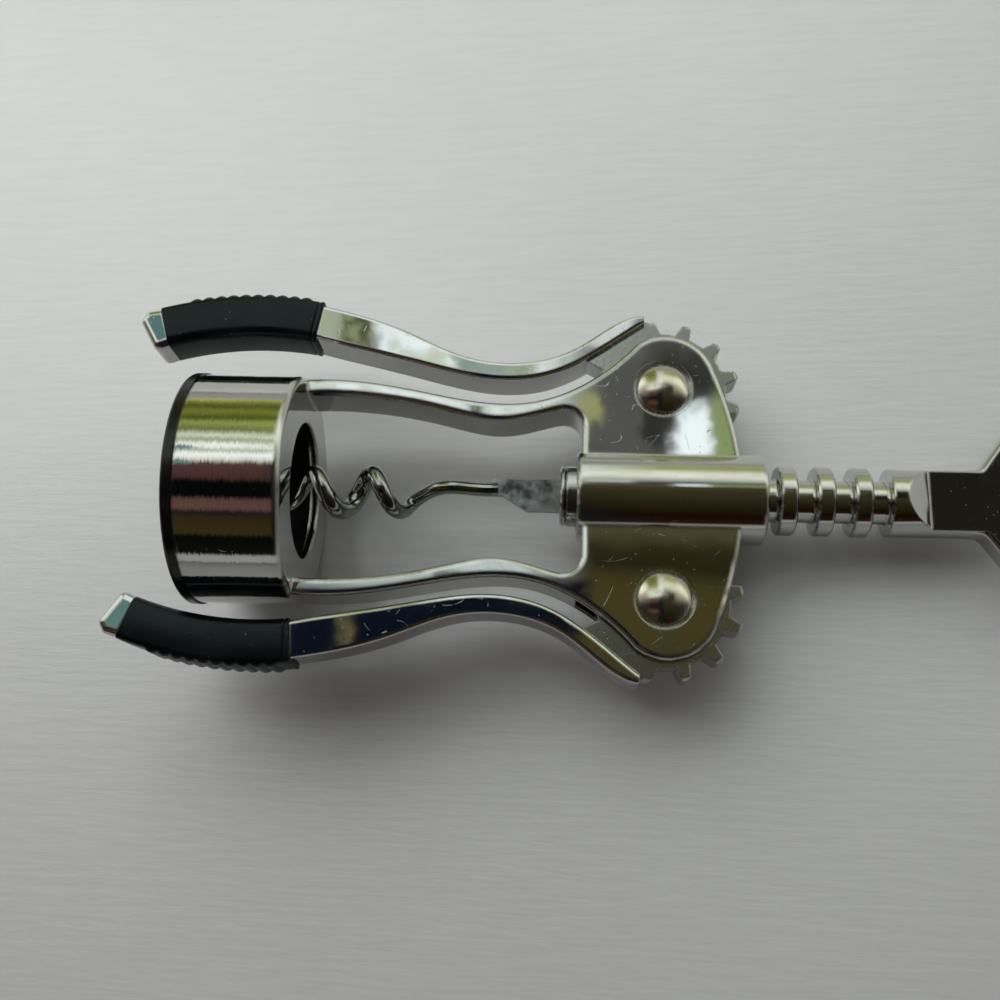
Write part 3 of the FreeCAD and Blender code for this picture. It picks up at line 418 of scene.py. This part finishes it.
# Grips: soft rubber sleeves moulded with ten ribs and a lip at the front, and pushed over the levers'
# tangs. One is shaped about its lever's pivot, in metres, and its copy is turned over for the other side.
sweep_centre = Vector((-0.06724, -0.04957, 0.0))
inner_radius = 0.05633
outer_radius = 0.06367
half_way = (inner_radius + outer_radius) / 2
sleeve_thickness = 0.0084
inner_corner = 0.0016
outer_corner = 0.0009
rib_pitch = math.radians(1.933)
rib_count = 10
rib_height = 0.00042
rib_curve = 0.0014
first_rib = math.radians(84.66)
steps_per_rib = 8
steps_before_ribs = 12
steps = 107
step = rib_pitch / steps_per_rib
front_end = first_rib - steps_before_ribs * step
back_end = front_end + steps * step
face_depth = 0.00007
turn_depth = 0.00042
lip_steps = 2.5
lip_height = 0.00005
groove_depth = 0.00015
end_rounding = 0.00018
lever_play = math.radians(1.75)


def select(mesh, chosen):
    """In edit mode, select just the points for which chosen(point) is true."""
    for part in list(mesh.verts) + list(mesh.edges) + list(mesh.faces):
        part.select = False
    for point in mesh.verts:
        point.select = chosen(point)
    mesh.select_flush_mode()
    bmesh.update_edit_mesh(sleeve.data)


def radius_of(point):
    return (point.co - sweep_centre).to_2d().length


def angle_of(point):
    offset = point.co - sweep_centre
    return math.atan2(offset.y, offset.x)


def row_of(point):
    """Count of the point's step along the ribs, from half a pitch before the first one."""
    return round((angle_of(point) - first_rib) / step + steps_per_rib / 2)


bpy.ops.object.select_all(action="DESELECT")
outward = Vector((math.cos(front_end), math.sin(front_end), 0.0))
bpy.ops.mesh.primitive_plane_add(size=1.0, location=sweep_centre + outward * half_way,
                                 rotation=(math.radians(90), 0.0, front_end))
sleeve = bpy.context.object
sleeve.name = "upper_sleeve"
sleeve.scale = (outer_radius - inner_radius, sleeve_thickness, 1.0)
bpy.ops.object.transform_apply(location=True, rotation=True, scale=True)
bpy.ops.object.mode_set(mode="EDIT")
for inner, corner in ((True, inner_corner), (False, outer_corner)):
    mesh = bmesh.from_edit_mesh(sleeve.data)
    select(mesh, lambda point: (radius_of(point) < half_way) == inner)
    bpy.ops.mesh.bevel(offset=corner, segments=5, affect="VERTICES")
bpy.ops.mesh.select_all(action="SELECT")
bpy.ops.mesh.spin(steps=steps, angle=-step * steps, center=sweep_centre, axis=(0, 0, 1))
bpy.ops.mesh.select_all(action="SELECT")
bpy.ops.mesh.normals_make_consistent(inside=False)

# Each rib is a low round ridge across the outer face, at half height where the face turns over.
rib_rows = ((outer_radius - face_depth, outer_radius + face_depth / 2, 1.0),
            (outer_radius - turn_depth, outer_radius - face_depth, 0.5))
for phase in range(1, steps_per_rib):
    along_rib = (phase / steps_per_rib - 0.5) * rib_pitch * outer_radius
    rise = rib_height - rib_curve + math.sqrt(rib_curve ** 2 - along_rib ** 2)
    for lowest, highest, share in rib_rows:
        mesh = bmesh.from_edit_mesh(sleeve.data)
        select(mesh, lambda point: lowest < radius_of(point) < highest
               and 0 < row_of(point) < rib_count * steps_per_rib
               and row_of(point) % steps_per_rib == phase)
        growth = 1 + share * rise / outer_radius
        bpy.ops.transform.resize(value=(growth, growth, 1.0), center_override=sweep_centre)

# The lip stands proud round the front end, with a narrow groove behind it, and both ends are rounded.
for nearest, farthest, height in ((-0.5, lip_steps, lip_height),
                                  (lip_steps, lip_steps + 1, -groove_depth)):
    mesh = bmesh.from_edit_mesh(sleeve.data)
    select(mesh, lambda point: nearest < (angle_of(point) - front_end) / step < farthest)
    bpy.ops.transform.shrink_fatten(value=height)
for end in (front_end, back_end):
    mesh = bmesh.from_edit_mesh(sleeve.data)
    select(mesh, lambda point: abs(angle_of(point) - end) < step / 2)
    bpy.ops.mesh.region_to_loop()
    bpy.ops.mesh.bevel(offset=end_rounding, segments=2, affect="EDGES")
bpy.ops.mesh.select_all(action="SELECT")
bpy.ops.mesh.normals_make_consistent(inside=False)
bpy.ops.object.mode_set(mode="OBJECT")
bpy.ops.object.shade_smooth_by_angle(angle=math.radians(50))

material, start, place = new_material("grip_rubber")
grain = noise(start, place, 1500.0, 3.0)
bloom = noise(start, place, 130.0, 4.0)
dust = start.node("TexVoronoi", sockets={"Vector": place, "Scale": 700.0}, out="Distance")
dusted = (1 - dust.between(0.08, 0.14)) * bloom.between(0.5, 0.62) * 0.35
skin = start.node("Bump", sockets={"Strength": 0.5, "Distance": 0.00002, "Height": grain})
rubber = bloom.between(0.35, 0.7).blend(colour(1, 3, 6), colour(5, 9, 14))
grip_rubber = finish_material(material, start, {
    "Base Color": dusted.blend(rubber, colour(120, 124, 126)),
    "Roughness": 0.24 + bloom.between(0.3, 0.7) * 0.12, "Normal": skin, "Specular IOR Level": 0.28,
    "Specular Tint": (0.80, 0.94, 1.0, 1.0)})
sleeve.data.materials.append(grip_rubber)

second_sleeve = sleeve.copy()
second_sleeve.data = sleeve.data.copy()
second_sleeve.name = "lower_sleeve"
bpy.context.collection.objects.link(second_sleeve)
lying = Matrix((lengthwise, upward.cross(lengthwise), upward)).transposed().to_4x4()
for lever, piece, turned_over, play in (("upper", sleeve, 0.0, -lever_play),
                                        ("lower", second_sleeve, math.pi, lever_play)):
    pivot = Vector(joints[f"{lever}_lever_pivot"]["pos_m"])
    piece.matrix_world = (Matrix.Translation(pivot) @ lying @ Matrix.Rotation(turned_over, 4, "X")
                          @ Matrix.Rotation(play, 4, "Z"))
    bpy.ops.object.select_all(action="DESELECT")
    piece.select_set(True)
    bpy.context.view_layer.objects.active = piece
    bpy.ops.object.transform_apply(location=True, rotation=True, scale=True)
    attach(piece, f"{lever}_lever")
    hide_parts(f"{lever}_grip")
